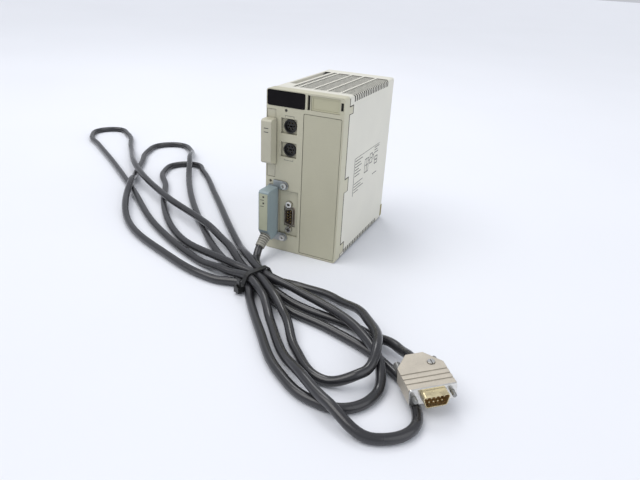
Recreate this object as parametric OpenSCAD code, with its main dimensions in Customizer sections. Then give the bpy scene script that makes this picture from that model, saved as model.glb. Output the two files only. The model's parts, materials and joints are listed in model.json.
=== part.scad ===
// Rack PLC module: a narrow case with a front bezel, two plug-in cards and a tied cable.
// Frame: origin under the middle of the case, front face toward -Y, +Z up, millimetres.

/* [Body] */
// Width of the front bezel
body_w = 73; // [72:1:110]
// Height of the body
body_h = 151; // [148:1:190]
// Depth of the body without its rear lugs
body_d = 125; // [122:1:160]
// Thickness of the case walls
wall = 2; // [1.6:0.1:2.4]
// Radius of the long edges of the body
corner_r = 2.5; // [1:0.1:4]
// How much narrower the case is than the bezel, each side
case_inset = 0.3; // [0.2:0.1:0.6]

/* [Vents] */
// Number of vent slots along the top and the bottom
vent_count = 20; // [10:1:20]
// Distance from one vent slot to the next
vent_pitch = 4.4; // [4:0.1:4.5]
// Width of one vent slot
vent_slot_w = 2.2; // [1.6:0.1:2.6]
// How far the slots run down the right side
vent_drop = 6; // [4:0.5:8]

/* [Bezel] */
// Depth of the bezel behind its front face
bezel_d = 11; // [9:0.5:14]
// Thickness of the bezel's front wall
face_t = 2.5; // [2.4:0.1:3]
// Length of the snap clips on the bezel's sides
clip_len = 8; // [6:0.5:10]
// Height of the window band at the top of the face
band_h = 14.4; // [13:0.2:16]
// Depth of the pockets that hold the inserts
pocket_t = 1.5; // [1.2:0.1:1.6]

/* [Sockets and port] */
// Radius of the round sockets
socket_r = 6; // [5:0.1:6.4]
// Height of the upper socket's centre above the floor
socket_upper_z = 120.5; // [118:0.5:124]
// Distance between the two socket centres
socket_pitch = 21; // [19:0.5:22]
// Height of the 9-pin port's centre
port_z = 36; // [34:0.5:40]
// Distance between the port's two screw nuts
port_pitch = 25; // [24:0.1:26]
// Radius of the nuts' threaded holes
nut_hole_r = 1.42; // [1.2:0.02:1.6]

/* [Cards] */
// Thickness of both plug-in cards
card_t = 5; // [3:0.5:5.5]
// Height of the memory card
memory_card_h = 54; // [50:1:54]
// Length of the memory card inside the case
memory_card_len = 82; // [70:1:90]
// How far the memory card's cap stands out of the face
cap_depth = 10; // [8:0.5:14]
// Height of the communication card
comm_card_h = 50; // [46:1:52]
// How far the communication hood stands out of the face
hood_depth = 19; // [17:0.5:21]
// Width of the communication hood
hood_w = 10; // [9:0.5:11]
// Gap between each card and its guide
card_gap = 0.3; // [0.2:0.05:0.5]

/* [Screws] */
// Radius of the screws of the communication card
comm_screw_r = 1.5; // [1.2:0.1:2]
// Radius of the screw that fixes the module to its rack
fixing_screw_r = 2; // [1.5:0.1:2.4]
// How far the fixing screw stands out behind the body
fixing_reach = 9; // [6:0.5:12]
// Running clearance round every screw, on the radius
running_gap = 0.06; // [0.02:0.01:0.1]
// Radius of the rear locating studs
stud_r = 3; // [2:0.1:4]
// Distance between the locating studs
stud_pitch = 44; // [36:1:50]

/* [Reset button] */
// Radius of the reset button's stem
reset_r = 1.2; // [1:0.05:1.5]
// Gap round the reset button's stem
reset_gap = 0.1; // [0.08:0.01:0.2]

/* [Cable and plug] */
// Diameter of the cable
cable_d = 7; // [6:0.1:7]
// Number of sides of the cable's solid
cable_sides = 8; // [8:1:12]
// Length of the plug's hood
plug_len = 33; // [30:0.5:40]
// Width of the plug's hood
plug_w = 31; // [30.8:0.1:33]
// Thickness of the plug's hood
plug_t = 11; // [10.6:0.1:13.6]
// Distance between the plug's two thumbscrews
plug_pitch = 25; // [24.9:0.05:25.1]

/* [Hidden] */
$fn = 48;
eps = 0.01;

front_y = -body_d / 2;
rear_y = body_d / 2;
seam_y = front_y + bezel_d;
face_in_y = front_y + face_t;
pocket_y = front_y + pocket_t;
case_w = body_w - 2 * case_inset;
case_h = body_h - case_inset;
inner_x = case_w / 2 - wall;
inner_top = case_h - wall;
left_x = -body_w / 2;
right_x = body_w / 2;
band_z = body_h - band_h;
clip_t = 1.2;
clip_z = [[5, 14], [body_h / 2 - 9.5, body_h / 2 + 2.5], [body_h - 15, body_h - 9]];

// Window band
window_x = [left_x + 0.9, 0.6];
window_z = [band_z + 0.2, body_h - 0.9];
window_r = 1.6;
blank_x = [6.1, right_x - 4.1];
slit_x = [2.6, 5.2];
insert_gap = 0.12;

// Right-hand blank panel
panel_x = [-0.5, right_x - 1.5];
panel_z = [2, band_z - 3];
panel_groove = 0.4;

// Cards: both hang from the left end of the face
memory_x = left_x + 5.2;
memory_card_z = 76;
cap_w = 10;
cap_z = [87, 126];
comm_x = left_x + 8.5;
comm_card_z = 14;
comm_card_len = 78;
plate_t = 1;
seat_gap = 0.2;
plate_y = front_y - seat_gap - plate_t;
plate_z = [13, 65];
ear_r = 4;
comm_screw_x = -17.2;
comm_screw_z = [14.7, 65.9];
hood_z = [17, 64];
hood_wall = 1.6;
bevel_low = [hood_z[0] - 2, hood_depth - 7];
bevel_high = [hood_z[0] + 8.5, hood_depth];

// Front board behind the face, with the sockets and the reset switch
board_t = 1.6;
front_board_y = seam_y - 2;
socket_x = -13.5;
socket_z = [socket_upper_z - socket_pitch, socket_upper_z];
recess_w = 15.6;
recess_h = 13.6;
recess_depth = 2.4;
recess_shift = -0.6;
boss_y = front_y + 5;
reset_x = -17.2;
reset_z = band_z - 2.6;

// Port
port_x = -12;
port_depth = 1.5;
port_recess_x = [-22.6, -3.3];
port_recess_z = [17.2, 61.5];
shell_w = 8.4;
shell_h = 16.9;

// Main board and what it carries
main_x = 14;
main_y = [seam_y + 3, rear_y - wall - 4];
main_top = body_h - 14;
back_plug_z = 86;
back_plug_h = 52;
back_plug_w = 12;

// Screwdriver channel along the top
channel_x = left_x + 8.2;
channel_w = 6.6;
channel_floor = body_h - 8;
channel_y = [front_y + 33, rear_y - 15];
screw_z = body_h - 4.3;
driver_head_r = 2.9;
shank_r = fixing_screw_r + 0.4;
driver_head_len = 5;
head_y = channel_y[1] - 0.1;

// Route of the cable's centre line, from the strain relief to the plug
tie_slots = [[0, -122, 5], [-4, -133, 11.5], [-2, -126, 11.5], [-8, -143, 5],
             [-5, -136, 5], [-7, -140, 11.5], [-3, -129, 5]];
cable_exit = [comm_x, front_y - hood_depth - 6.5, 12];
cable_start = [cable_exit, [-25, -99, 6], [-14, -112, 4.5]];
right_loop_1 = [[30, -120, 3.5], [66, -127, 6], [100, -151, 14], [121, -184, 18.5],
                [121, -210, 12], [98, -220, 4], [67, -199, 3.5], [43, -170, 7],
                [20, -150, 11.5]];
left_loop_1 = [[-28, -127, 11], [-120, -90, 3.5], [-176, -40, 3.5], [-216, 12, 3.5],
               [-246, 46, 3.5], [-252, 76, 3.5], [-230, 92, 3.5], [-206, 74, 3.5],
               [-150, 18, 3.5], [-56, -80, 5], [-23, -111, 11]];
right_loop_2 = [[34, -137, 11], [104, -168, 11], [126, -192, 10], [133, -216, 3.5],
                [121, -237, 3.5], [97, -240, 3.5], [68, -226, 3.5], [32, -190, 3.5],
                [5, -159, 3.5]];
left_loop_2 = [[-40, -145, 3.5], [-110, -126, 3.5], [-176, -94, 3.5], [-220, -50, 7],
               [-245, -13, 11.5], [-264, 14, 5], [-294, 62, 3.5], [-318, 100, 3.5],
               [-324, 134, 3.5], [-300, 152, 3.5], [-272, 136, 5], [-240, 92, 11.5],
               [-200, 36, 4.5], [-116, -56, 3.5], [-58, -107, 3.5], [-28, -125, 3.5]];
right_loop_3 = [[30, -154, 3.5], [80, -165, 3.5], [126, -183, 3.5], [156, -210, 3.5],
                [163, -234, 3.5], [146, -252, 3.5], [110, -244, 11], [89, -231, 11],
                [59, -206, 4.5], [35, -178, 3.5], [12, -153, 10]];
left_loop_3 = [[-34, -135, 8.5], [-70, -124, 3.5], [-140, -91, 3.5], [-240, -18, 3.5],
               [-330, 46, 3.5], [-396, 90, 3.5], [-434, 116, 3.5], [-448, 144, 3.5],
               [-428, 166, 3.5], [-398, 152, 3.5], [-350, 104, 4], [-272, 27, 12],
               [-184, -29, 11], [-100, -69, 11.5], [-66, -87, 7.5], [-26, -116, 4]];
plug_at = [147, -184, 14];
cable_end = [[38, -146, 3.5], [104, -156, 3.5], [131, -168, 8.5], plug_at];
route = concat(cable_start, [tie_slots[0]], right_loop_1, [tie_slots[1]], left_loop_1,
               [tie_slots[2]], right_loop_2, [tie_slots[3]], left_loop_2,
               [tie_slots[4]], right_loop_3, [tie_slots[5]], left_loop_3,
               [tie_slots[6]], cable_end);

// Tie: its ring stands square to the bundle, whose lateral row is 22.5 long
tie_at = [-4, -132.5, 0];
tie_turn = -20.9;
tie_half_low = 11.3;
tie_half_high = 8.1;
tie_low_z = 5;
tie_high_z = 11.5;
tie_gap = 0.2;
tie_t = 1.2;
tie_w = 4.4;
head_size = [6.5, 6, 5.4];

// Strain relief between the hood's lower bevel and the cable
relief_pitch = atan2(bevel_high[1] - bevel_low[1], bevel_high[0] - bevel_low[0]);
relief_len = (front_y - bevel_low[1] - cable_exit[1]) * cos(relief_pitch)
             + (bevel_low[0] - cable_exit[2]) * sin(relief_pitch);
relief_r = 4.4;

// Plug
plug_turn = -53;
plug_roll = 5;
flange_w = 30.8;
flange_h = 11.6;
flange_t = 1.2;
plug_shell_len = 6;
shell_t = 0.5;
thumb_r = 2.7;
thumb_shaft_r = 1.4;
thumb_head_len = 8;
thumb_reach = 4;
shoulder_x = 12;
thumb_x = 2;
cover_screw_at = [11, 7.6];
rib_x = [19, 23.5, 28];
hood_back_w = 12;
hood_rim = 1.8;
cavity_x = 8;
cavity_w = shell_h + 0.2;

// Vents and openings in the face
vent_first = seam_y + 10.9;
grid_y = [vent_first - 1.3, vent_first - 0.7 + vent_count * vent_pitch];
grid_sink = 0.6;
grid_bar_x = [-17, -3, 10, 23];
vent_top_x = -22;
vent_low_x = 5;
vent_left_x = [-31, -5];
clip_gap = 0.25;
cut_y = front_y + 6;
insert_z = [band_z + 0.6, body_h - 1.5];
blank_rim = 1.4;
notch_x = [right_x - 3.3, right_x - 0.9];
notch_z = [band_z + 3.8, body_h - 4];
card_recess_x = [left_x + 0.9, left_x + 9.5];
card_recess_rim = 3.7;
cap_plate_gap = 0.3;
status_at = [left_x + 4.8, plate_z[1] + 3];
status_r = 1.3;
port_opening = [5.6, 9.7];

// Connectors
nut_seat_r = 3;
nut_r = 2.9;
nut_shank_r = 2.15;
port_hole_r = 2.2;
port_flange_h = 12.5;
flange_corner_r = 1.2;
pin_r = 0.5;
pin_pitch = 2.77;
pin_row = 1.42;
socket_wall = 1.1;
socket_ring_r = 2.9;
socket_bore_r = 0.7;
socket_pin_r = 0.45;
contact_rows = 1.8;
contact_pitch = 2.6;
contact_half = 0.35;
contact_top = rear_y - 3.5;

// Behind the face
digit_x = window_x[0] + 4;
digit_w = 6;
digit_pitch = 7.2;
front_board_z = [84, band_z - 4];
chip_t = 2.4;
chips = [[-30, 30, 24, 24], [4, 30, 20, 14], [-30, 64, 14, 20], [0, 62, 28, 10],
         [-32, 100, 18, 18], [2, 98, 14, 14]];
can_y = 32;
can_z = [18, 32, 108, 122];
can_r = 5;
can_len = 14;
battery_y = [-34, -10];
battery_z = 18;
battery_r = 8;

// Small metal parts
ground_z = [3.5, 16];
stud_z = 9;
stud_len = 5;
light_z = [hood_z[1] - 5.2, hood_z[1] - 11.2];
comm_head_r = 2.9;
comm_head_t = 2.3;
hex_r = 1.2;
cover_screw_r = 2.4;

// ---------- shared shapes ----------

// Box between two corners
module span(a, b) {
    translate(a) cube(b - a);
}

// Rounded rectangle centred on the origin
module rounded(w, h, r) {
    square([w - 2 * r, h], center = true);
    square([w, h - 2 * r], center = true);
    for (x = [-1, 1], z = [-1, 1])
        translate([x * (w / 2 - r), z * (h / 2 - r)]) circle(r);
}

// Rounded bar along Y, standing on the floor
module upright(w, z0, z1, y0, y1, r) {
    translate([0, y1, (z0 + z1) / 2])
        rotate([90, 0, 0]) linear_extrude(y1 - y0) rounded(w, z1 - z0, r);
}

// Cylinder along Y
module rod_y(x, z, y0, y1, r) {
    translate([x, y1, z]) rotate([90, 0, 0]) cylinder(h = y1 - y0, r = r);
}

// D-shaped outline of a 9-pin connector, long side along X
module d_outline(inset) {
    r = 1.8 - inset;
    w = shell_h / 2 - 1.8;
    h = shell_w / 2 - 1.8;
    lean = 1.3;
    hull() for (side = [-1, 1]) {
        translate([side * w, h]) circle(r, $fn = 32);
        translate([side * (w - lean), -h]) circle(r, $fn = 32);
    }
}

// Plate with rounded corners in the XZ plane, between two Y values
module plate_xz(x, z, y, r) {
    translate([(x[0] + x[1]) / 2, y[1], (z[0] + z[1]) / 2])
        rotate([90, 0, 0]) linear_extrude(y[1] - y[0]) rounded(x[1] - x[0], z[1] - z[0], r);
}

// Positions of a 9-pin connector's pins in its own outline
pin_rows = concat([for (i = [-2 : 2]) [i * pin_pitch, pin_row]],
                  [for (i = [-1.5 : 1 : 1.5]) [i * pin_pitch, -pin_row]]);

// ---------- housing ----------

module vent_cuts() {
    for (i = [0 : vent_count - 1]) {
        y0 = vent_first + i * vent_pitch;
        span([vent_top_x, y0, case_h - vent_drop], [case_w, y0 + vent_slot_w, case_h + 5]);
        span([vent_low_x, y0, -5], [case_w, y0 + vent_slot_w, vent_drop]);
        span([vent_left_x[0], y0, -5], [vent_left_x[1], y0 + vent_slot_w, wall + eps]);
    }
}

module clip_spans(gap) {
    for (z = clip_z) {
        for (side = [0, 1]) mirror([side, 0, 0])
            span([right_x - clip_t - gap / 2, seam_y - eps, z[0] - gap],
                 [right_x, seam_y + clip_len + gap, z[1] + gap]);
    }
}

module rear_case() {
    color([0.83, 0.83, 0.81])
    difference() {
        union() {
            difference() {
                upright(case_w, 0, case_h, seam_y, rear_y, corner_r);
                span([-inner_x, seam_y - 1, wall], [inner_x, rear_y - wall - 0.5, inner_top]);
                vent_cuts();
                span([vent_top_x, grid_y[0], case_h - grid_sink], [case_w, grid_y[1], case_h + 1]);
                clip_spans(clip_gap);
            }
            for (x = grid_bar_x)
                span([x - 1, grid_y[0], case_h - wall], [x + 1, grid_y[1], case_h]);
            span([channel_x - channel_w / 2 - wall, channel_y[0] - wall, channel_floor - wall],
                 [channel_x + channel_w / 2 + wall, rear_y, case_h]);
        }
        span([channel_x - channel_w / 2, channel_y[0], channel_floor],
             [channel_x + channel_w / 2, channel_y[1], case_h + 1]);
        rod_y(channel_x, screw_z, channel_y[1] - 1, rear_y + 1, shank_r + running_gap);
        span([main_x - back_plug_w / 2, rear_y - 5, back_plug_z - back_plug_h / 2],
             [main_x + back_plug_w / 2, rear_y + 1, back_plug_z + back_plug_h / 2]);
    }
}

module bezel_blank() {
    difference() {
        upright(body_w, 0, body_h, front_y, seam_y, corner_r);
        span([left_x + wall, face_in_y, wall], [right_x - wall, seam_y + 1, body_h - wall]);
    }
    clip_spans(0);
    for (z = socket_z)
        span([socket_x - recess_w / 2 - 3, front_y + 1, z - recess_h / 2 - 1.2],
             [socket_x + recess_w / 2, boss_y, z + recess_h / 2 + 1.2]);
}

module front_bezel() {
    color([0.69, 0.68, 0.60])
    difference() {
        bezel_blank();
        // window band
        plate_xz(window_x, window_z, [front_y - 1, pocket_y], window_r);
        span([window_x[0] + 3, front_y, window_z[0] + 2], [window_x[1] - 3, cut_y, window_z[1] - 2.5]);
        span([slit_x[0], front_y - 1, insert_z[0]], [slit_x[1], front_y + 2, insert_z[1]]);
        span([blank_x[0], front_y - 1, insert_z[0]], [blank_x[1], pocket_y, insert_z[1]]);
        span([notch_x[0], front_y - 1, notch_z[0]], [notch_x[1], cut_y, notch_z[1]]);
        // blank panel
        plate_xz(panel_x, panel_z, [front_y - 1, pocket_y], 1);
        // memory card
        span([card_recess_x[0], front_y - 1, memory_card_z - card_recess_rim],
             [card_recess_x[1], pocket_y, memory_card_z + memory_card_h + card_recess_rim]);
        span([memory_x - card_t / 2 - card_gap, front_y - 1, memory_card_z - card_gap],
             [memory_x + card_t / 2 + card_gap, cut_y, memory_card_z + memory_card_h + card_gap]);
        // communication card and its screws
        span([comm_x - card_t / 2 - card_gap, front_y - 1, comm_card_z - card_gap],
             [comm_x + card_t / 2 + card_gap, cut_y, comm_card_z + comm_card_h + card_gap]);
        for (z = comm_screw_z)
            rod_y(comm_screw_x, z, front_y - 1, cut_y, comm_screw_r + running_gap);
        rod_y(status_at[0], status_at[1], front_y - 1, cut_y, status_r);
        // reset button and sockets
        rod_y(reset_x, reset_z, front_y - 1, cut_y, reset_r + reset_gap);
        for (z = socket_z) {
            span([socket_x - recess_w / 2 + recess_shift, front_y - 1, z - recess_h / 2],
                 [socket_x + recess_w / 2 + recess_shift, front_y + recess_depth, z + recess_h / 2]);
            rod_y(socket_x, z, front_y, cut_y, socket_r);
        }
        // port
        span([port_recess_x[0], front_y - 1, port_recess_z[0]],
             [port_recess_x[1], front_y + port_depth, port_recess_z[1]]);
        span([port_x - port_opening[0], front_y, port_z - port_opening[1]],
             [port_x + port_opening[0], cut_y, port_z + port_opening[1]]);
        for (side = [-1, 1])
            rod_y(port_x, port_z + side * port_pitch / 2, front_y, cut_y, nut_seat_r);
    }
}

// ---------- inserts on the face ----------

module display_window() {
    color([0.06, 0.05, 0.06])
    plate_xz([window_x[0] + insert_gap, window_x[1] - insert_gap],
             [window_z[0] + insert_gap, window_z[1] - insert_gap],
             [front_y - 0.3, pocket_y], window_r);
}

module display_digits() {
    color([0.25, 0.22, 0.22])
    for (i = [0 : 3])
        span([digit_x + i * digit_pitch, face_in_y + 2, window_z[0] + 2.4],
             [digit_x + digit_w + i * digit_pitch, front_board_y, window_z[1] - 3]);
}

module front_board() {
    color([0.15, 0.38, 0.22])
    difference() {
        union() {
            span([left_x + wall, front_board_y, front_board_z[1]],
                 [right_x - wall, front_board_y + board_t, body_h - wall]);
            span([memory_x + 5.5, front_board_y, front_board_z[0]],
                 [right_x - wall, front_board_y + board_t, front_board_z[1]]);
        }
        rod_y(reset_x, reset_z, front_board_y - 1, front_board_y + board_t + 1, reset_r + 0.3);
    }
}

module blank_window() {
    color([0.66, 0.65, 0.57])
    difference() {
        span([blank_x[0] + insert_gap, front_y + 0.5, insert_z[0] + insert_gap],
             [blank_x[1] - insert_gap, pocket_y, insert_z[1] - insert_gap]);
        span([blank_x[0] + blank_rim, front_y, insert_z[0] + blank_rim],
             [blank_x[1] - blank_rim, front_y + 0.9, insert_z[1] - blank_rim]);
    }
}

module blank_panel() {
    color([0.64, 0.63, 0.54])
    plate_xz([panel_x[0] + panel_groove, panel_x[1] - panel_groove],
             [panel_z[0] + panel_groove, panel_z[1] - panel_groove],
             [front_y + 0.2, pocket_y], 1);
}

module socket(z) {
    color([0.05, 0.05, 0.05])
    difference() {
        union() {
            rod_y(socket_x, z, front_y + 1, boss_y, socket_r - 0.05);
            rod_y(socket_x, z, boss_y, front_board_y, socket_r + 1);
        }
        rod_y(socket_x, z, front_y, front_y + 3, socket_r - socket_wall);
        for (a = [0 : 60 : 300])
            rod_y(socket_x + socket_ring_r * cos(a), z + socket_ring_r * sin(a),
                  front_y + 3, front_y + 7, socket_bore_r);
        span([socket_x - 1.3, front_y + 3, z - 1.1], [socket_x + 1.3, front_y + 5.6, z + 0.2]);
    }
}

module socket_lower() { socket(socket_z[0]); }

module socket_upper() { socket(socket_z[1]); }

module socket_contacts() {
    color([0.75, 0.66, 0.35])
    for (z = socket_z, a = [0 : 60 : 300])
        rod_y(socket_x + socket_ring_r * cos(a), z + socket_ring_r * sin(a),
              front_y + 4.2, front_y + 7, socket_pin_r);
}

// Turns a connector drawn facing +Z so that it faces -Y with its long side upright
module on_face() {
    translate([port_x, 0, port_z]) rotate([90, 90, 0]) children();
}

module port_shell() {
    color([0.75, 0.75, 0.73])
    on_face() {
        translate([0, 0, -front_y - face_t - 1])
            linear_extrude(1) difference() {
                rounded(flange_w, port_flange_h, flange_corner_r);
                d_outline(0);
                for (side = [-1, 1]) translate([side * port_pitch / 2, 0]) circle(port_hole_r);
            }
        translate([0, 0, -front_y - face_t - 1])
            linear_extrude(face_t + 1.4) difference() {
                d_outline(0);
                d_outline(shell_t);
            }
    }
}

module port_insert() {
    color([0.08, 0.07, 0.07])
    on_face() difference() {
        translate([0, 0, -front_y - face_t - 7])
            linear_extrude(face_t + 4) d_outline(shell_t);
        for (p = pin_rows)
            translate([p[0], p[1], -front_y - face_t - 8]) cylinder(h = 12, r = pin_r);
    }
}

module port_pins() {
    color([0.80, 0.68, 0.34])
    on_face() for (p = pin_rows)
        translate([p[0], p[1], -front_y - face_t - 6]) cylinder(h = face_t + 5.5, r = pin_r);
}

module port_nuts() {
    color([0.78, 0.78, 0.76])
    for (side = [-1, 1]) {
        z = port_z + side * port_pitch / 2;
        difference() {
            union() {
                rod_y(port_x, z, front_y - 1.5, face_in_y, nut_r);
                rod_y(port_x, z, face_in_y, front_y + 8, nut_shank_r);
            }
            rod_y(port_x, z, front_y - 3, front_y + 6, nut_hole_r);
        }
    }
}

// ---------- inside the case ----------

module guide_slot(x, z, h, len) {
    span([-inner_x - 1, seam_y - 1, z - card_gap],
         [x + card_t / 2 + card_gap, front_y + len + 1, z + h + card_gap]);
}

module card_guide() {
    back_y = front_y + memory_card_len + 6;
    color([0.30, 0.31, 0.32])
    difference() {
        span([-inner_x, seam_y + clip_len + 1, wall],
             [comm_x + card_t / 2 + 3, back_y, memory_card_z + memory_card_h + 3]);
        guide_slot(memory_x, memory_card_z, memory_card_h, memory_card_len);
        guide_slot(comm_x, comm_card_z, comm_card_h, comm_card_len);
        span([memory_x - 1, seam_y, memory_card_z + 6],
             [inner_x, back_y - 8, memory_card_z + memory_card_h - 6]);
        span([comm_x - 1, seam_y, comm_card_z + 6],
             [inner_x, back_y - 8, comm_card_z + comm_card_h - 6]);
    }
}

module main_board() {
    color([0.15, 0.38, 0.22])
    span([main_x, main_y[0], wall], [main_x + board_t, main_y[1], main_top]);
}

module main_chips() {
    color([0.10, 0.10, 0.11])
    for (c = chips)
        span([main_x + board_t, c[0], c[1]], [main_x + board_t + chip_t, c[0] + c[2], c[1] + c[3]]);
}

module capacitors() {
    color([0.16, 0.20, 0.34])
    for (z = can_z)
        translate([main_x + board_t, can_y, z]) rotate([0, 90, 0]) cylinder(h = can_len, r = can_r);
}

module battery() {
    color([0.74, 0.75, 0.72])
    {
        rod_y(main_x + board_t + battery_r, battery_z, battery_y[0], battery_y[1], battery_r);
        rod_y(main_x + board_t + battery_r, battery_z, battery_y[1], battery_y[1] + 1.6, 3);
        span([main_x + board_t, battery_y[0] + 1, battery_z - 5],
             [main_x + board_t + 5, battery_y[1] - 1, battery_z + 5]);
    }
}

module back_plug() {
    color([0.20, 0.20, 0.20])
    difference() {
        span([main_x - back_plug_w / 2 + 0.1, main_y[1], back_plug_z - back_plug_h / 2 + 0.1],
             [main_x + back_plug_w / 2 - 0.1, rear_y, back_plug_z + back_plug_h / 2 - 0.1]);
        span([main_x - 3.6, contact_top, back_plug_z - back_plug_h / 2 + 2],
             [main_x + 3.6, rear_y + 1, back_plug_z + back_plug_h / 2 - 2]);
    }
}

module back_contacts() {
    color([0.80, 0.68, 0.34])
    for (side = [-1, 1], i = [-8 : 8])
        span([main_x + side * contact_rows - contact_half, contact_top,
              back_plug_z + i * contact_pitch - contact_half],
             [main_x + side * contact_rows + contact_half, rear_y - 0.6,
              back_plug_z + i * contact_pitch + contact_half]);
}

module ground_contact() {
    color([0.55, 0.47, 0.25])
    {
        span([case_w / 2 - 4, rear_y, ground_z[0]], [right_x, rear_y + 1.2, ground_z[1]]);
        span([case_w / 2, rear_y - 2.6, ground_z[0]], [right_x, rear_y, ground_z[1]]);
    }
}

module locating_studs() {
    color([0.80, 0.80, 0.78])
    for (side = [-1, 1]) {
        rod_y(side * stud_pitch / 2, stud_z, rear_y, rear_y + stud_len, stud_r);
        rod_y(side * stud_pitch / 2, stud_z, rear_y + stud_len, rear_y + stud_len + 1, stud_r - 0.6);
    }
}

// ---------- reset button ----------

module reset_button() {
    color([0.20, 0.20, 0.21])
    {
        rod_y(reset_x, reset_z, front_y + 0.8, front_board_y + 2, reset_r);
        rod_y(reset_x, reset_z, face_in_y + 0.3, face_in_y + 1.3, reset_r + 1);
    }
}

// ---------- memory card ----------

module memory_board() {
    color([0.52, 0.52, 0.48])
    span([memory_x - card_t / 2, front_y + 1, memory_card_z],
         [memory_x + card_t / 2, front_y + memory_card_len, memory_card_z + memory_card_h]);
}

module memory_cap() {
    x0 = memory_x - cap_w / 2 + 0.2;
    x1 = x0 + cap_w;
    bevel = 1.6;
    color([0.70, 0.69, 0.61])
    {
        translate([x1, 0, 0]) rotate([0, -90, 0]) linear_extrude(cap_w)
            polygon([[cap_z[0] - 3, front_y - 0.3], [cap_z[0], front_y - cap_depth + 4],
                     [cap_z[0], front_y - cap_depth + bevel],
                     [cap_z[0] + bevel, front_y - cap_depth],
                     [cap_z[1] - bevel, front_y - cap_depth],
                     [cap_z[1], front_y - cap_depth + bevel], [cap_z[1], front_y - 0.3]]);
        span([memory_x - card_t / 2, front_y - 0.3, cap_z[0]],
             [memory_x + card_t / 2, front_y + 0.2, cap_z[1]]);
        span([card_recess_x[0] + cap_plate_gap, front_y + 0.2,
              memory_card_z - card_recess_rim + cap_plate_gap],
             [card_recess_x[1] - cap_plate_gap, front_y + 1,
              memory_card_z + memory_card_h + card_recess_rim - cap_plate_gap]);
    }
}

// ---------- communication card ----------

module comm_board() {
    color([0.52, 0.52, 0.50])
    span([comm_x - card_t / 2, plate_y + plate_t, comm_card_z],
         [comm_x + card_t / 2, front_y + comm_card_len, comm_card_z + comm_card_h]);
}

module comm_plate() {
    color([0.70, 0.73, 0.74])
    difference() {
        union() {
            span([comm_x - hood_w / 2, plate_y, plate_z[0]],
                 [comm_x + hood_w / 2, plate_y + plate_t, plate_z[1]]);
            for (z = comm_screw_z) {
                span([comm_x, plate_y, z - ear_r], [comm_screw_x, plate_y + plate_t, z + ear_r]);
                rod_y(comm_screw_x, z, plate_y, plate_y + plate_t, ear_r);
            }
        }
        for (z = comm_screw_z)
            rod_y(comm_screw_x, z, front_y - 3, front_y + 1, comm_screw_r + running_gap);
    }
}

// Drawn as [height, distance in front of the face], then turned upright
module comm_hood() {
    color([0.45, 0.52, 0.55])
    difference() {
        translate([comm_x + hood_w / 2, front_y, 0]) rotate([0, -90, 0]) linear_extrude(hood_w)
            mirror([0, 1])
            polygon([[hood_z[0], front_y - plate_y], bevel_low, bevel_high,
                     [hood_z[1] - 1.5, hood_depth], [hood_z[1], hood_depth - 1.5],
                     [hood_z[1], front_y - plate_y]]);
        span([comm_x - hood_w / 2 + hood_wall, front_y - hood_depth + 3, hood_z[0] + 12],
             [comm_x + hood_w / 2 - hood_wall, plate_y + 1, hood_z[1] - hood_wall]);
    }
}

module comm_label() {
    color([0.66, 0.67, 0.57])
    difference() {
        span([comm_x - hood_w / 2 + 0.9, front_y - hood_depth - 0.3, hood_z[0] + 9.5],
             [comm_x + hood_w / 2 - 0.9, front_y - hood_depth, hood_z[1] - 2.4]);
        for (z = light_z)
            rod_y(comm_x, z, front_y - hood_depth - 1, front_y - hood_depth + 1, 1);
    }
}

module comm_lights() {
    color([0.12, 0.16, 0.12])
    for (z = light_z)
        rod_y(comm_x, z, front_y - hood_depth - 0.25, front_y - hood_depth, 0.95);
}

// Ribbed sleeve, drawn upward from the cable's exit to the hood's lower bevel
module strain_relief() {
    ribs = 5;
    step = (relief_len - 1.6) / ribs;
    color([0.62, 0.60, 0.55])
    translate(cable_exit) rotate([relief_pitch - 90, 0, 0]) {
        cylinder(h = relief_len, r = relief_r - 0.4);
        for (i = [0 : ribs - 1])
            translate([0, 0, 0.6 + i * step]) cylinder(h = step * 0.55, r = relief_r + i * 0.12);
        translate([0, 0, relief_len - 1]) cylinder(h = 1, r = relief_r + 0.6);
    }
}

// ---------- cable ----------

function unit(v) = v / norm(v);
function travel(i) = unit(route[min(i + 1, len(route) - 1)] - route[i == 0 ? 0 : i - 1]);
function ring(i) =
    let (t = travel(i), side = unit(cross([0, 0, 1], t)), up = cross(t, side))
    [for (k = [0 : cable_sides - 1])
        let (a = (k + 0.5) * 360 / cable_sides)
        route[i] + cable_d / 2 * (cos(a) * side + sin(a) * up)];

module cable() {
    n = len(route);
    s = cable_sides;
    color([0.24, 0.24, 0.26])
    polyhedron(
        points = [for (i = [0 : n - 1]) each ring(i)],
        faces = concat(
            [[for (k = [0 : s - 1]) k]],
            [for (i = [0 : n - 2], k = [0 : s - 1])
                [i * s + k, (i + 1) * s + k, (i + 1) * s + (k + 1) % s, i * s + (k + 1) % s]],
            [[for (k = [s - 1 : -1 : 0]) (n - 1) * s + k]]));
}

module tie_outline(grow) {
    hull() for (side = [-1, 1]) {
        translate([side * tie_half_low, tie_low_z]) circle(cable_d / 2 + grow, $fn = 32);
        translate([side * tie_half_high, tie_high_z]) circle(cable_d / 2 + grow, $fn = 32);
    }
}

// Places a shape drawn in the ring's plane across the bundle
module on_bundle() {
    translate(tie_at) rotate([0, 0, tie_turn]) rotate([90, 0, 90]) children();
}

module cable_tie() {
    edge = -tie_half_low - cable_d / 2 - tie_gap - tie_t / 2;
    color([0.06, 0.06, 0.06])
    on_bundle() {
        translate([0, 0, -tie_w / 2]) linear_extrude(tie_w) difference() {
            tie_outline(tie_gap + tie_t);
            tie_outline(tie_gap);
        }
        difference() {
            translate([edge - head_size[0], tie_low_z - 3, -head_size[1] / 2])
                cube([head_size[0], head_size[2], head_size[1]]);
            translate([edge - head_size[0] + 1.6, tie_low_z - 4, -tie_w / 2])
                cube([1.6, head_size[2] + 2, tie_w]);
        }
    }
}

// ---------- plug ----------

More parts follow.
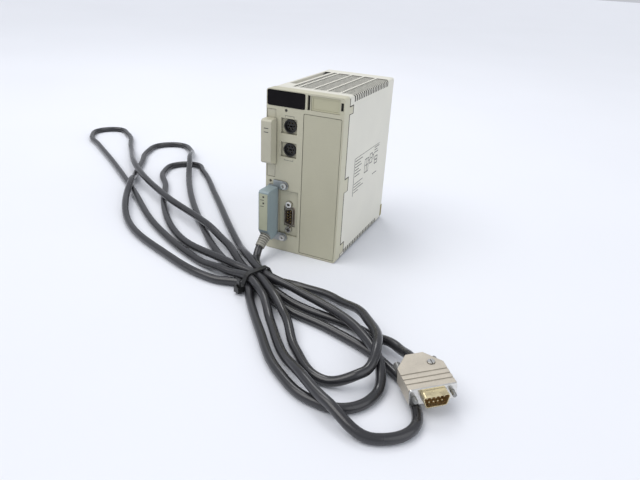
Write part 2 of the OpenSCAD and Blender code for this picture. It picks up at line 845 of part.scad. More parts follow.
// Local plug frame: +X out of the nose, Y across, origin where the cable enters
module at_plug() {
    translate(plug_at) rotate([plug_roll, 0, plug_turn]) children();
}

module plug_plan() {
    polygon([[0, -hood_back_w / 2], [0, hood_back_w / 2], [shoulder_x, plug_w / 2],
             [plug_len, plug_w / 2], [plug_len, -plug_w / 2], [shoulder_x, -plug_w / 2]]);
}

module plug_cuts() {
    for (side = [-1, 1])
        translate([-1, side * plug_pitch / 2, 0]) rotate([0, 90, 0]) {
            cylinder(h = plug_len + 2, r = thumb_shaft_r + running_gap);
            cylinder(h = thumb_x + thumb_head_len + 1.3, r = thumb_r + 0.3);
        }
}

module plug_half(z0, z1, cavity_z) {
    difference() {
        translate([0, 0, z0]) linear_extrude(z1 - z0) plug_plan();
        translate([cavity_x, -cavity_w / 2, cavity_z]) cube([plug_len, cavity_w, plug_t / 2]);
        plug_cuts();
    }
}

module plug_hood_lower() {
    color([0.70, 0.67, 0.62])
    at_plug() plug_half(-plug_t / 2, 0, -plug_t / 2 + hood_rim);
}

module plug_hood_upper() {
    color([0.70, 0.67, 0.62])
    at_plug() difference() {
        plug_half(0, plug_t / 2, -hood_rim);
        for (x = rib_x)
            translate([x - 0.5, -plug_w, plug_t / 2 - 0.5]) cube([1, 2 * plug_w, 1]);
        translate([cover_screw_at[0], cover_screw_at[1], plug_t / 2 - 1])
            cylinder(h = 2, r = cover_screw_r + 0.2);
    }
}

// Turns an outline drawn flat so that it faces out of the nose, at a distance x
module on_nose(x) {
    at_plug() translate([x, 0, 0]) rotate([90, 0, 90]) children();
}

module plug_flange() {
    color([0.82, 0.82, 0.80])
    on_nose(plug_len) linear_extrude(flange_t) difference() {
        rounded(flange_w, flange_h, flange_corner_r);
        d_outline(0);
        for (side = [-1, 1])
            translate([side * plug_pitch / 2, 0]) circle(thumb_shaft_r + running_gap);
    }
}

module plug_shell() {
    color([0.80, 0.66, 0.36])
    on_nose(plug_len) linear_extrude(flange_t + plug_shell_len) difference() {
        d_outline(0);
        d_outline(shell_t);
    }
}

module plug_insulator() {
    color([0.10, 0.10, 0.10])
    on_nose(plug_len - 4) difference() {
        linear_extrude(4 + flange_t) d_outline(shell_t);
        for (p = pin_rows) translate([p[0], p[1], -1]) cylinder(h = 8, r = pin_r);
    }
}

module plug_pins() {
    color([0.85, 0.70, 0.32])
    on_nose(plug_len - 6)
        for (p = pin_rows) translate([p[0], p[1], 0]) cylinder(h = 11.4, r = pin_r);
}

module plug_cover_screws() {
    color([0.80, 0.80, 0.80])
    at_plug() translate([cover_screw_at[0], cover_screw_at[1], plug_t / 2 - 1]) difference() {
        cylinder(h = 1.9, r = cover_screw_r);
        translate([-3, -0.35, 1.2]) cube([6, 0.7, 1]);
    }
}

// ---------- screws ----------

module comm_screw(z) {
    color([0.80, 0.80, 0.79])
    difference() {
        union() {
            rod_y(comm_screw_x, z, plate_y - comm_head_t, plate_y - 0.1, comm_head_r);
            rod_y(comm_screw_x, z, plate_y - 0.1, front_y + 5, comm_screw_r);
        }
        rod_y(comm_screw_x, z, plate_y - 4, plate_y - 0.9, hex_r);
    }
}

module comm_screw_lower() { comm_screw(comm_screw_z[0]); }

module comm_screw_upper() { comm_screw(comm_screw_z[1]); }

module fixing_screw() {
    color([0.78, 0.77, 0.74])
    difference() {
        union() {
            rod_y(channel_x, screw_z, head_y - driver_head_len, head_y, driver_head_r);
            rod_y(channel_x, screw_z, head_y, rear_y, shank_r);
            rod_y(channel_x, screw_z, rear_y, rear_y + fixing_reach, fixing_screw_r);
        }
        span([channel_x - 4, head_y - driver_head_len - 1, screw_z - 0.5],
             [channel_x + 4, head_y - driver_head_len + 1.4, screw_z + 0.5]);
    }
}

module plug_screw(side) {
    color([0.62, 0.62, 0.62])
    at_plug() translate([thumb_x, side * plug_pitch / 2, 0]) rotate([0, 90, 0]) {
        difference() {
            cylinder(h = thumb_head_len, r = thumb_r);
            for (a = [0 : 30 : 330])
                rotate(a) translate([thumb_r, 0, -1])
                    cylinder(h = thumb_head_len - 1, r = 0.3, $fn = 16);
        }
        cylinder(h = plug_len - thumb_x + flange_t + thumb_reach, r = thumb_shaft_r);
    }
}

module plug_screw_left() { plug_screw(-1); }

module plug_screw_right() { plug_screw(1); }

rear_case();
front_bezel();
display_window();
display_digits();
front_board();
blank_window();
blank_panel();
socket_lower();
socket_upper();
socket_contacts();
port_shell();
port_insert();
port_pins();
port_nuts();
card_guide();
main_board();
main_chips();
capacitors();
battery();
back_plug();
back_contacts();
ground_contact();
locating_studs();
reset_button();
memory_board();
memory_cap();
comm_board();
comm_plate();
comm_hood();
comm_label();
comm_lights();
strain_relief();
cable();
cable_tie();
plug_hood_lower();
plug_hood_upper();
plug_flange();
plug_shell();
plug_insulator();
plug_pins();
plug_cover_screws();
comm_screw_lower();
comm_screw_upper();
fixing_screw();
plug_screw_left();
plug_screw_right();
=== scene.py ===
import json
import math

import bmesh
import bpy
from mathutils import Matrix, Vector


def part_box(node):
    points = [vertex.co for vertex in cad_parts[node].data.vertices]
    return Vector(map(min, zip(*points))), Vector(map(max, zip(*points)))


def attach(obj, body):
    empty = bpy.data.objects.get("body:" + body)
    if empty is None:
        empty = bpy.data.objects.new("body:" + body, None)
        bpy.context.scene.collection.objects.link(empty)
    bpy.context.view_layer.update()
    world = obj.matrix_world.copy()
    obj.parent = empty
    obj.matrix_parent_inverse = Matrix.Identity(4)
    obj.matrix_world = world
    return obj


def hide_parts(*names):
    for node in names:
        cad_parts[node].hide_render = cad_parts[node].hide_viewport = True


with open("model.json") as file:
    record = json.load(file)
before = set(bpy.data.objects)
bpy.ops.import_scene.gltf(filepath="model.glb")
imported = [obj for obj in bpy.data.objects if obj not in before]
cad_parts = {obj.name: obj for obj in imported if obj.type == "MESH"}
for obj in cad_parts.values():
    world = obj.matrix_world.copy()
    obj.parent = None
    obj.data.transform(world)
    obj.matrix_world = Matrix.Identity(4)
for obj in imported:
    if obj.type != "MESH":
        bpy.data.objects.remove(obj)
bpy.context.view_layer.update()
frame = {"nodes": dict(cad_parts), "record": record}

MM = 0.001
scene = bpy.context.scene

# ---------- camera ----------

AZ = math.radians(23.772)
EL = math.radians(25.700)
ROLL = math.radians(3.128)
CAMERA_AT = (0.2103, -0.4926, 0.2468)
back = Vector((math.sin(AZ) * math.cos(EL), -math.cos(AZ) * math.cos(EL), math.sin(EL)))
side = Vector((0, 0, 1)).cross(back).normalized()
top = back.cross(side)
cam_x = side * math.cos(ROLL) + top * math.sin(ROLL)
cam_y = top * math.cos(ROLL) - side * math.sin(ROLL)
lens = bpy.data.cameras.new("camera")
lens.sensor_width = 36
lens.lens = 32.04
camera = bpy.data.objects.new("camera", lens)
turn = Matrix((cam_x, cam_y, back)).transposed().to_4x4()
camera.matrix_world = Matrix.Translation(CAMERA_AT) @ turn
scene.collection.objects.link(camera)
scene.camera = camera

# ---------- cable ----------

# The route in millimetres: out of the card, then through the tie between one loop and the next
CABLE_R = 0.0035
PULL = 0.36  # length of a knot's handles as a share of the way to the next knot
EXIT = (-28, -88, 12)
START = [EXIT, (-25, -99, 6), (-14, -112, 4.5)]
SLOTS = [(0, -122, 5), (-4, -133, 11.5), (-2, -126, 11.5), (-8, -143, 5),
         (-5, -136, 5), (-7, -140, 11.5), (-3, -129, 5)]
RIGHT_1 = [(30, -120, 3.5), (66, -127, 6), (100, -151, 14), (121, -184, 18.5),
           (121, -210, 12), (98, -220, 4), (67, -199, 3.5), (43, -170, 7),
           (20, -150, 11.5)]
LEFT_1 = [(-28, -127, 11), (-120, -90, 3.5), (-176, -40, 3.5), (-216, 12, 3.5),
          (-246, 46, 3.5), (-252, 76, 3.5), (-230, 92, 3.5), (-206, 74, 3.5),
          (-150, 18, 3.5), (-56, -80, 5), (-23, -111, 11)]
RIGHT_2 = [(34, -137, 11), (104, -168, 11), (126, -192, 10), (133, -216, 3.5),
           (121, -237, 3.5), (97, -240, 3.5), (68, -226, 3.5), (32, -190, 3.5),
           (5, -159, 3.5)]
LEFT_2 = [(-40, -145, 3.5), (-110, -126, 3.5), (-176, -94, 3.5), (-220, -50, 7),
          (-245, -13, 11.5), (-264, 14, 5), (-294, 62, 3.5), (-318, 100, 3.5),
          (-324, 134, 3.5), (-300, 152, 3.5), (-272, 136, 5), (-240, 92, 11.5),
          (-200, 36, 4.5), (-116, -56, 3.5), (-58, -107, 3.5), (-28, -125, 3.5)]
RIGHT_3 = [(30, -154, 3.5), (80, -165, 3.5), (126, -183, 3.5), (156, -210, 3.5),
           (163, -234, 3.5), (146, -252, 3.5), (110, -244, 11), (89, -231, 11),
           (59, -206, 4.5), (35, -178, 3.5), (12, -153, 10)]
LEFT_3 = [(-34, -135, 8.5), (-70, -124, 3.5), (-140, -91, 3.5), (-240, -18, 3.5),
          (-330, 46, 3.5), (-396, 90, 3.5), (-434, 116, 3.5), (-448, 144, 3.5),
          (-428, 166, 3.5), (-398, 152, 3.5), (-350, 104, 4), (-272, 27, 12),
          (-184, -29, 11), (-100, -69, 11.5), (-66, -87, 7.5), (-26, -116, 4)]
END = [(38, -146, 3.5), (104, -156, 3.5), (131, -168, 8.5), (147, -184, 14)]
ROUTE = [Vector(p) * MM for p in
         START + [SLOTS[0]] + RIGHT_1 + [SLOTS[1]] + LEFT_1 + [SLOTS[2]] + RIGHT_2
         + [SLOTS[3]] + LEFT_2 + [SLOTS[4]] + RIGHT_3 + [SLOTS[5]] + LEFT_3
         + [SLOTS[6]] + END]


def heading(i):
    """Direction of the cable at a point of its route, weighted towards the nearer neighbour."""
    here = ROUTE[i]
    before = here - ROUTE[i - 1] if i else None
    after = ROUTE[i + 1] - here if i + 1 < len(ROUTE) else None
    if before is None:
        return after.normalized()
    if after is None:
        return before.normalized()
    return (before / before.length_squared + after / after.length_squared).normalized()


line = bpy.data.curves.new("cable_line", "CURVE")
line.dimensions = "3D"
line.resolution_u = 10
line.bevel_depth = 1.0  # multiplied by each knot's radius
line.bevel_resolution = 5
line.use_fill_caps = True
spline = line.splines.new("BEZIER")
spline.bezier_points.add(len(ROUTE) - 1)
for i, (knot, place) in enumerate(zip(spline.bezier_points, ROUTE)):
    knot.handle_left_type = knot.handle_right_type = "FREE"
    knot.co = knot.handle_left = knot.handle_right = place
    knot.radius = CABLE_R
    along = heading(i)
    if i:
        reach = along * (place - ROUTE[i - 1]).length * PULL
        knot.handle_left = place - Vector((reach.x, reach.y, 0))
    if i + 1 < len(ROUTE):
        reach = along * (ROUTE[i + 1] - place).length * PULL
        knot.handle_right = place + Vector((reach.x, reach.y, 0))
cable = bpy.data.objects.new("cable_sheath", line)
scene.collection.objects.link(cable)
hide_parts("cable")
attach(cable, "comm_card")

# ---------- materials ----------

BUMP_DEPTH = 0.00005


class Paint:
    """A node material built step by step: colour patches, grain, scratches, grime with painted
    shade in corners, painted shade on slot walls, edges, bump.
    """

    def __init__(self, name, color, rough, metal=0.0):
        self.material = bpy.data.materials.new(name)
        self.material.use_nodes = True
        self.tree = self.material.node_tree
        self.shader = self.tree.nodes["Principled BSDF"]
        self.where = self.node("ShaderNodeTexCoord").outputs["Object"]
        self.shader.inputs["Metallic"].default_value = metal
        self.color = (*color, 1.0)
        self.rough = rough
        self.round = None

    def node(self, kind, **settings):
        new = self.tree.nodes.new(kind)
        for key, value in settings.items():
            setattr(new, key, value)
        return new

    def put(self, value, socket):
        if isinstance(value, bpy.types.NodeSocket):
            self.tree.links.new(value, socket)
        elif value is not None:
            socket.default_value = value

    def noise(self, scale, detail=3.0, where=None):
        new = self.node("ShaderNodeTexNoise")
        self.put(where or self.where, new.inputs["Vector"])
        new.inputs["Scale"].default_value = scale
        new.inputs["Detail"].default_value = detail
        return new.outputs["Fac"]

    def stretch(self, x, y, z):
        new = self.node("ShaderNodeMapping")
        self.put(self.where, new.inputs["Vector"])
        new.inputs["Scale"].default_value = (x, y, z)
        return new.outputs["Vector"]

    def band(self, value, low, high, out_low=0.0, out_high=1.0):
        new = self.node("ShaderNodeMapRange", clamp=True)
        for key, part in (("Value", value), ("From Min", low), ("From Max", high),
                          ("To Min", out_low), ("To Max", out_high)):
            self.put(part, new.inputs[key])
        return new.outputs["Result"]

    def sum(self, operation, a, b):
        new = self.node("ShaderNodeMath", operation=operation)
        self.put(a, new.inputs[0])
        self.put(b, new.inputs[1])
        return new.outputs[0]

    def mix(self, share, a, b):
        new = self.node("ShaderNodeMix", data_type="RGBA")
        self.put(share, new.inputs[0])
        self.put(a, new.inputs[6])
        self.put(b, new.inputs[7])
        return new.outputs[2]

    def shade(self, by):
        r, g, b = self.color[:3]
        return (r * by, g * by, b * by, 1.0)

    def patches(self, scale=35, amount=0.05):
        field = self.noise(scale, 4)
        self.tint = self.mix(self.band(field, 0.3, 0.7), self.shade(1 - amount),
                             self.shade(1 + amount))
        self.gloss = self.band(field, 0.3, 0.7, self.rough - 0.04, self.rough + 0.05)
        return self

    def grain(self, scale=1400, amount=0.25, dark=0.75):
        spots = self.band(self.noise(scale, 2), 0.56, 0.72, 0.0, amount)
        self.tint = self.mix(spots, self.tint, self.shade(dark))
        return self

    def rounded(self, radius=0.0004):
        new = self.node("ShaderNodeBevel", samples=4)
        new.inputs["Radius"].default_value = radius
        self.round = new.outputs["Normal"]
        return self

    def dust_and_shade(self, color, distance=0.003, amount=0.6):
        # Painted shade, with grime where the colour is a grime colour: the colour is laid where
        # ambient occlusion finds surfaces close by, in corners, recesses and gaps.
        new = self.node("ShaderNodeAmbientOcclusion", samples=6)
        new.inputs["Distance"].default_value = distance
        occluded = self.band(new.outputs["AO"], 0.25, 0.85, amount, 0.0)
        self.tint = self.mix(occluded, self.tint, (*color, 1.0))
        return self

    def shaded_slot_walls(self, color, low, high):
        """Painted shade on the walls that face along Y between two depths: the sides of the vent
        slots.
        """
        face = self.node("ShaderNodeSeparateXYZ")
        self.put(self.node("ShaderNodeNewGeometry").outputs["True Normal"], face.inputs[0])
        place = self.node("ShaderNodeSeparateXYZ")
        self.put(self.where, place.inputs[0])
        inside = self.sum("MULTIPLY", self.sum("GREATER_THAN", place.outputs["Y"], low),
                          self.sum("LESS_THAN", place.outputs["Y"], high))
        across = self.sum("GREATER_THAN", self.sum("ABSOLUTE", face.outputs["Y"], 0.0), 0.7)
        share = self.sum("MULTIPLY", inside, across)
        self.tint = self.mix(share, self.tint, (*color, 1.0))
        return self

    def scratches(self, amount=0.3, lighter=1.25, direction=(1, 1, 14)):
        lines = self.noise(420, 2, self.stretch(*direction))
        spots = self.noise(60, 2)
        marks = self.sum("MULTIPLY", self.band(lines, 0.66, 0.72), self.band(spots, 0.5, 0.7))
        self.tint = self.mix(self.sum("MULTIPLY", marks, amount), self.tint,
                             self.shade(lighter))
        return self

    def texture(self, scale=2200, strength=0.15):
        field = self.noise(scale, 3)
        new = self.node("ShaderNodeBump")
        new.inputs["Strength"].default_value = strength
        new.inputs["Distance"].default_value = BUMP_DEPTH
        self.put(field, new.inputs["Height"])
        if self.round:
            self.put(self.round, new.inputs["Normal"])
        self.round = new.outputs["Normal"]
        return self

    def done(self, coat=0.0, shine=0.5):
        self.put(self.tint, self.shader.inputs["Base Color"])
        self.put(self.gloss, self.shader.inputs["Roughness"])
        if self.round:
            self.put(self.round, self.shader.inputs["Normal"])
        self.shader.inputs["Coat Weight"].default_value = coat
        self.shader.inputs["Specular IOR Level"].default_value = shine
        self.shader.inputs["Coat Roughness"].default_value = 0.08
        return self.material


# Colours laid in occluded places: grime with painted shade in open corners, and painted shade in
# deep gaps
GRIME_AND_SHADE = (0.20, 0.18, 0.13)
DEEP_SHADE = (0.035, 0.032, 0.026)

MATERIALS = {
    "case": Paint("case_plastic", (0.683, 0.668, 0.588), 0.50).patches(28, 0.03)
    .grain(1500, 0.12).scratches(0.12).dust_and_shade(DEEP_SHADE, 0.005, 1.0)
    .shaded_slot_walls((0.06, 0.055, 0.045), -0.045, 0.058).rounded(0.0005)
    .texture(2600, 0.22).done(),
    "bezel": Paint("bezel_plastic", (0.530, 0.508, 0.385), 0.46).patches(30, 0.035)
    .grain(1500, 0.14).scratches(0.16).dust_and_shade(DEEP_SHADE, 0.0022, 0.75).rounded(0.0004)
    .texture(2600, 0.22).done(),
    "window": Paint("window_acrylic", (0.006, 0.005, 0.006), 0.16).patches(60, 0.2)
    .scratches(0.25, 3.0).texture(300, 0.02).done(0.0, 0.08),
    "digits": Paint("digit_plastic", (0.06, 0.02, 0.02), 0.3).patches().texture().done(),
    "board": Paint("board_laminate", (0.04, 0.16, 0.07), 0.4).patches(90, 0.15)
    .texture(900, 0.2).done(),
    "blank_window": Paint("blank_window_plastic", (0.485, 0.465, 0.322), 0.48).patches(40, 0.04)
    .grain(1500, 0.12).dust_and_shade(GRIME_AND_SHADE, 0.0015, 0.5).texture(2600, 0.2).done(),
    "blank_panel": Paint("blank_panel_plastic", (0.495, 0.475, 0.355), 0.47).patches(26, 0.03)
    .grain(1500, 0.14).scratches(0.14).dust_and_shade(GRIME_AND_SHADE, 0.0012, 0.5).rounded(0.0003)
    .texture(2600, 0.2).done(),
    "socket": Paint("socket_plastic", (0.005, 0.0045, 0.0045), 0.38).patches(200, 0.2)
    .rounded(0.0003).texture(1800, 0.15).done(),
    "contact": Paint("contact_gold", (0.42, 0.31, 0.12), 0.35, 1.0).patches(300, 0.1)
    .texture(2000, 0.1).done(),
    "steel": Paint("steel_plate", (0.42, 0.44, 0.45), 0.36, 0.85).patches(120, 0.12)
    .grain(900, 0.3).dust_and_shade(DEEP_SHADE, 0.0012, 0.8).rounded(0.0002).texture(900, 0.15).done(),
    "nickel": Paint("nickel_bright", (0.74, 0.73, 0.70), 0.22, 1.0).patches(150, 0.1)
    .grain(1200, 0.3).dust_and_shade(DEEP_SHADE, 0.0012, 0.85).rounded(0.0002).texture(1200, 0.1).done(),
    "insulator": Paint("insulator_plastic", (0.045, 0.028, 0.018), 0.45).patches(200, 0.2)
    .texture(1800, 0.15).done(),
    "guide": Paint("guide_plastic", (0.03, 0.03, 0.033), 0.5).patches().texture().done(),
    "chips": Paint("chip_epoxy", (0.02, 0.02, 0.022), 0.5).patches().texture().done(),
    "capacitors": Paint("capacitor_sleeve", (0.04, 0.05, 0.16), 0.35).patches()
    .texture().done(),
    "battery": Paint("battery_sleeve", (0.26, 0.22, 0.08), 0.4).patches().texture().done(),
    "olive_brass": Paint("tarnished_brass", (0.30, 0.25, 0.09), 0.42, 1.0).patches(300, 0.25)
    .grain(900, 0.5).texture(900, 0.2).done(),
    "button": Paint("button_plastic", (0.06, 0.06, 0.058), 0.45).patches().texture().done(),
    "cap": Paint("cap_plastic", (0.503, 0.482, 0.375), 0.45).patches(60, 0.04)
    .grain(1500, 0.12).scratches(0.2).dust_and_shade(GRIME_AND_SHADE, 0.002, 0.4).rounded(0.0006)
    .texture(2600, 0.2).done(),
    "hood": Paint("hood_plastic", (0.255, 0.318, 0.335), 0.42).patches(70, 0.05)
    .grain(1300, 0.15).scratches(0.25).dust_and_shade((0.10, 0.10, 0.09), 0.002, 0.4)
    .rounded(0.0006).texture(2400, 0.2).done(),
    "label": Paint("label_film", (0.455, 0.466, 0.335), 0.55).patches(80, 0.05)
    .grain(1100, 0.2).rounded(0.0002).texture(1500, 0.12).done(),
    "lights": Paint("light_lens", (0.035, 0.03, 0.025), 0.2).patches(300, 0.2)
    .texture(1500, 0.05).done(0.4),
    "relief": Paint("relief_plastic", (0.33, 0.32, 0.275), 0.42).patches(200, 0.08)
    .grain(900, 0.3).dust_and_shade(DEEP_SHADE, 0.0014, 0.85).rounded(0.0003).texture(1600, 0.2).done(),
    "cable": Paint("cable_sheath", (0.023, 0.023, 0.026), 0.27).patches(22, 0.14)
    .grain(900, 0.3, 1.7).scratches(0.3, 2.2, (1, 1, 1)).texture(1300, 0.16).done(0.25),
    "tie": Paint("tie_nylon", (0.012, 0.012, 0.012), 0.34).patches(200, 0.2)
    .rounded(0.0003).texture(900, 0.15).done(),
    "plug_hood": Paint("plug_hood_metal", (0.545, 0.495, 0.415), 0.42, 0.3).patches(90, 0.08)
    .grain(900, 0.4, 0.7).scratches(0.4, 1.4).dust_and_shade(GRIME_AND_SHADE, 0.0015, 0.5)
    .rounded(0.0006).texture(1300, 0.3).done(),
    "gold": Paint("shell_gold", (0.66, 0.57, 0.36), 0.28, 0.9).patches(250, 0.12)
    .grain(900, 0.3).rounded(0.0002).texture(1200, 0.12).done(),
}
PRINT = Paint("printed_ink", (0.13, 0.13, 0.12), 0.6).patches(300, 0.15).texture().done()
# Near-black paint for the painted shade in the seams between case, bezel and clips
SEAM_SHADE = Paint("seam_shade_line", (0.035, 0.03, 0.024), 0.75).patches(150, 0.3).texture().done()
INK = Paint("dark_ink", (0.05, 0.05, 0.05), 0.6).patches(300, 0.15).texture().done()
# Near-black paint for the painted shade in the slit, in the notch and behind the vents
SHADE_VOID = Paint("painted_dark_shade", (0.012, 0.011, 0.010), 0.8).patches(300, 0.15).texture().done()

slots = {piece["node"]: piece["material_slot"] for piece in frame["record"]["subparts"]}
# Nodes that look different from the rest of their slot
THUMB = (Paint("thumb_screw_metal", (0.31, 0.31, 0.30), 0.36, 0.9).patches(250, 0.15)
         .grain(900, 0.4).dust_and_shade(DEEP_SHADE, 0.0008, 0.8).texture(1200, 0.15).done())
OWN = {
    "plug_screw_left": THUMB,
    "plug_screw_right": THUMB,
    "port_shell": Paint("port_shell_metal", (0.52, 0.47, 0.41), 0.30, 0.95).patches(200, 0.15)
    .grain(900, 0.4).dust_and_shade(DEEP_SHADE, 0.0008, 0.7).rounded(0.0002).texture(1200, 0.12).done(),
    "plug_insulator": Paint("plug_insulator_plastic", (0.26, 0.13, 0.035), 0.42)
    .patches(200, 0.2).texture(1800, 0.15).done(),
}
for name, node in frame["nodes"].items():
    for holder in node.material_slots:
        holder.material = OWN.get(name, MATERIALS[slots[name]])
cable.data.materials.append(MATERIALS["cable"])

# ---------- rounded edges on plain nodes ----------


def soften(name, width, angle=35):
    node = frame["nodes"][name]
    flat = node.modifiers.new("flat", "DECIMATE")
    flat.decimate_type = "DISSOLVE"
    flat.angle_limit = math.radians(1)
    edge = node.modifiers.new("edge", "BEVEL")
    edge.width = width
    edge.segments = 3
    edge.limit_method = "ANGLE"
    edge.angle_limit = math.radians(angle)


for name, width in (("memory_cap", 0.0006), ("comm_hood", 0.0007), ("comm_plate", 0.00015),
                    ("comm_label", 0.0001), ("cable_tie", 0.0002)):
    soften(name, width)

# ---------- printed marks ----------

front_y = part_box("front_bezel")[0][1]
side_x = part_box("rear_case")[1][0]


def box_at(mesh, low, high):
    made = bmesh.ops.create_cube(mesh, size=1.0)
    size = [b - a for a, b in zip(low, high)]
    for v in made["verts"]:
        v.co = Vector([a + (c + 0.5) * s for a, c, s in zip(low, v.co, size)])


def build(name, mesh, material, body):
    data = bpy.data.meshes.new(name)
    mesh.to_mesh(data)
    mesh.free()
    data.materials.append(material)
    piece = bpy.data.objects.new(name, data)
    scene.collection.objects.link(piece)
    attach(piece, body)
    return piece


def print_front(name, marks, material, body, y=front_y, thick=0.00006):
    """Marks lie flat on a front surface, each given as x0, z0, x1, z1 in millimetres."""
    mesh = bmesh.new()
    for x0, z0, x1, z1 in marks:
        box_at(mesh, (x0 * MM, y - thick, z0 * MM), (x1 * MM, y, z1 * MM))
    return build(name, mesh, material, body)


def print_side(name, marks, material, thick=0.00006):
    """Marks lie flat on the case's right side, each given as y0, z0, y1, z1 in millimetres."""
    mesh = bmesh.new()
    for y0, z0, y1, z1 in marks:
        box_at(mesh, (side_x, y0 * MM, z0 * MM), (side_x + thick, y1 * MM, z1 * MM))
    return build(name, mesh, material, "root")


def outline(x0, z0, x1, z1, t=0.25):
    return [(x0, z0, x1, z0 + t), (x0, z1 - t, x1, z1), (x0, z0, x0 + t, z1),
            (x1 - t, z0, x1, z1)]


# Brackets above and below the round sockets, as z and the direction of their short ends
BRACKETS = ((129.4, -1.4), (89.8, 1.4))
BRACKET_X = (-4.6, 4.2)
socket_low, socket_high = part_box("socket_lower")
socket_x = (socket_low[0] + socket_high[0]) / 2 / MM
left = socket_x + BRACKET_X[0]
right = socket_x + BRACKET_X[1]
marks = []
for z, fall in BRACKETS:
    low, high = sorted((z, z + fall))
    marks += [(left, z, right, z + 0.35), (left, low, left + 0.3, high),
              (right - 0.3, low, right, high)]
print_front("face_marks", marks, PRINT, "root")

# Darkness inside the slit beside the window and inside the notch at the right
print_front("slit_shadow", [(2.65, 137.3, 5.15, 149.4)], SHADE_VOID, "root",
            front_y + 1.98 * MM)
print_front("notch_shadow", [(33.25, 140.6, 35.55, 146.9)], SHADE_VOID, "root",
            front_y + 0.9 * MM)

# Dark lines of painted shade where the case meets the bezel and its clips
CLIPS = ((5, 14), (66, 78), (136, 142))
CLIP_LEN = 8
GAP = 0.7
seam_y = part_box("rear_case")[0][1] / MM
lines = [(seam_y, 1.5, seam_y + 1.9, 149)]
for low, high in CLIPS:
    lines += [(seam_y, low - 0.05 - GAP, seam_y + CLIP_LEN + 1.1, low - 0.05),
              (seam_y, high + 0.05, seam_y + CLIP_LEN + 1.1, high + 0.05 + GAP),
              (seam_y + CLIP_LEN, low - 0.05 - GAP, seam_y + CLIP_LEN + 1.8, high + 0.05 + GAP)]
print_side("seam_lines", lines, SEAM_SHADE)

# Blocks of short printed lines, as y, z of the first, step down, thickness and lengths
BLOCKS = ((-27, 88, 2.9, 0.7, (18, 13, 16, 10, 15, 12)), (23, 89, 2.6, 0.7, (13, 8, 11)),
          (-27, 66, 2.8, 0.6, (22, 17, 24, 12)))
side_marks = []
for y, z, step, thick, lengths in BLOCKS:
    for k, length in enumerate(lengths):
        side_marks.append((y, z - k * step, y + length, z - k * step + thick))
side_marks += [(-29, 55, -28.2, 91), (-29, 91, 37, 91.4)]
# Wiring diagram: three boxes and the strokes between them
side_marks += outline(-2, 70, 8, 84, 0.7) + outline(11, 76, 18, 86, 0.7)
side_marks += outline(25, 72, 33, 80, 0.8)
side_marks += [(-2, 77, 8, 77.6), (11, 81, 18, 81.6), (3, 70, 3.8, 84), (8, 80, 11, 80.6),
               (18, 83, 23, 83.6), (20.5, 78, 21.3, 83), (26.5, 75.5, 31.5, 76.6),
               (22, 62, 34, 62.7)]
print_side("side_marks", side_marks, INK)

# Dark sheets behind the vents that paint the shade inside the case, as x0, x1, z0, z1
SHADE_SHEETS = ((-22, 33.7, 148.0, 148.3), (33.7, 33.95, 143.5, 148.4), (33.7, 33.95, 2.1, 8),
           (5, 33.7, 2.1, 2.4), (-31, -5, 2.1, 2.4))
SHADE_SHEET_Y = (-42, 47)
shade = bmesh.new()
for x0, x1, z0, z1 in SHADE_SHEETS:
    box_at(shade, (x0 * MM, SHADE_SHEET_Y[0] * MM, z0 * MM), (x1 * MM, SHADE_SHEET_Y[1] * MM, z1 * MM))
build("vent_shade_sheet", shade, SHADE_VOID, "root")

# Short bars where the cap and the label carry their lettering
cap_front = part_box("memory_cap")[0][1]
print_front("cap_marks", [(-33.3, 118.2, -28.9, 118.9), (-33.3, 114.8, -28.9, 115.5)],
            INK, "memory_card", cap_front)
label_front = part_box("comm_label")[0][1]
print_front("label_marks", [(-31, 55.5, -27.4, 56.1), (-31, 49.5, -27.4, 50.1)],
            INK, "comm_card", label_front)

# ---------- end of the cable tie ----------

TAIL_ROOT = Vector((-4, -132.5, 0)) * MM
TAIL_TURN = Matrix.Rotation(math.radians(-20.9), 4, "Z")
TAIL_STEPS = 8
TAIL_HALF_W = 0.0018
TAIL_HALF_T = 0.0006


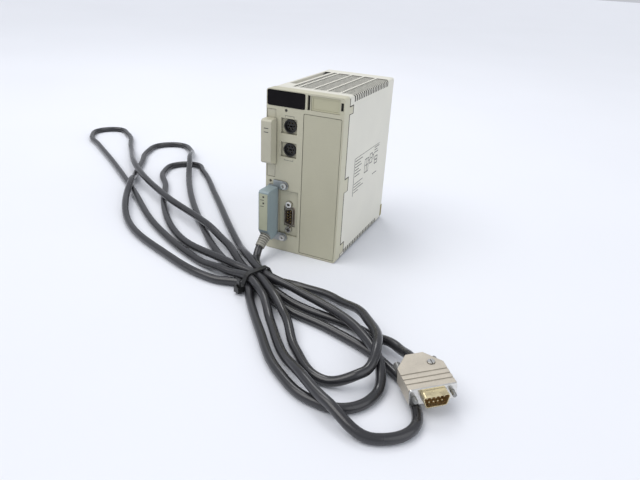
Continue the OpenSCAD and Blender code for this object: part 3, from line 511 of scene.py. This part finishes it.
def tail_corners(mesh, share):
    """The strap's four corners at a share of its length, from the tie's head up to its tip."""
    out = -0.0165 - 0.0045 * math.sin(share * 1.8)
    along = 0.003 * share
    up = 0.003 + 0.013 * share
    corners = []
    for across in (-TAIL_HALF_W, TAIL_HALF_W):
        for depth in (-TAIL_HALF_T, TAIL_HALF_T):
            spot = Vector((along + across, out + depth, up))
            corners.append(mesh.verts.new(TAIL_ROOT + TAIL_TURN @ spot))
    return corners


tail = bmesh.new()
rows = [tail_corners(tail, k / TAIL_STEPS) for k in range(TAIL_STEPS + 1)]
for a, b in zip(rows, rows[1:]):
    for i, j in ((0, 1), (1, 3), (3, 2), (2, 0)):
        tail.faces.new((a[i], a[j], b[j], b[i]))
for row in (rows[0], rows[-1]):
    tail.faces.new((row[0], row[1], row[3], row[2]))
bmesh.ops.recalc_face_normals(tail, faces=tail.faces)
build("tie_tail", tail, MATERIALS["tie"], "comm_card")

# ---------- stage and light ----------

ground = bmesh.new()
bmesh.ops.create_grid(ground, x_segments=2, y_segments=2, size=9.0)
data = bpy.data.meshes.new("floor")
ground.to_mesh(data)
ground.free()
floor = bpy.data.objects.new("floor", data)
scene.collection.objects.link(floor)
data.materials.append(Paint("floor_paper", (0.80, 0.815, 0.86), 0.65).patches(3, 0.008)
                      .texture(400, 0.05).done())


def lamp(kind, name, place, aim, energy, color):
    data = bpy.data.lights.new(name, kind)
    data.energy = energy
    data.color = color
    holder = bpy.data.objects.new(name, data)
    holder.location = place
    holder.rotation_euler = (Vector(aim) - Vector(place)).to_track_quat("-Z", "Y").to_euler()
    scene.collection.objects.link(holder)
    return data


def sun(name, place, strength, spread, color):
    lamp("SUN", name, place, (0, 0, 0), strength, color).angle = math.radians(spread)


sun("window_light", (-0.9, -0.7, 1.9), 1.25, 45, (1.0, 0.985, 0.96))
sun("room_light", (1.6, -0.3, 1.1), 0.75, 60, (0.97, 0.985, 1.0))
strip = lamp("AREA", "strip", (-0.5, 0.5, 1.3), (0, -0.1, 0), 4, (1, 1, 1))
strip.shape = "SQUARE"
strip.size = 0.5
world = bpy.data.worlds.new("room")
world.use_nodes = True
world.node_tree.nodes["Background"].inputs["Color"].default_value = (0.90, 0.93, 1.0, 1)
world.node_tree.nodes["Background"].inputs["Strength"].default_value = 0.60
scene.world = world
scene.view_settings.view_transform = "Standard"
scene.view_settings.look = "None"

bpy.context.view_layer.update()
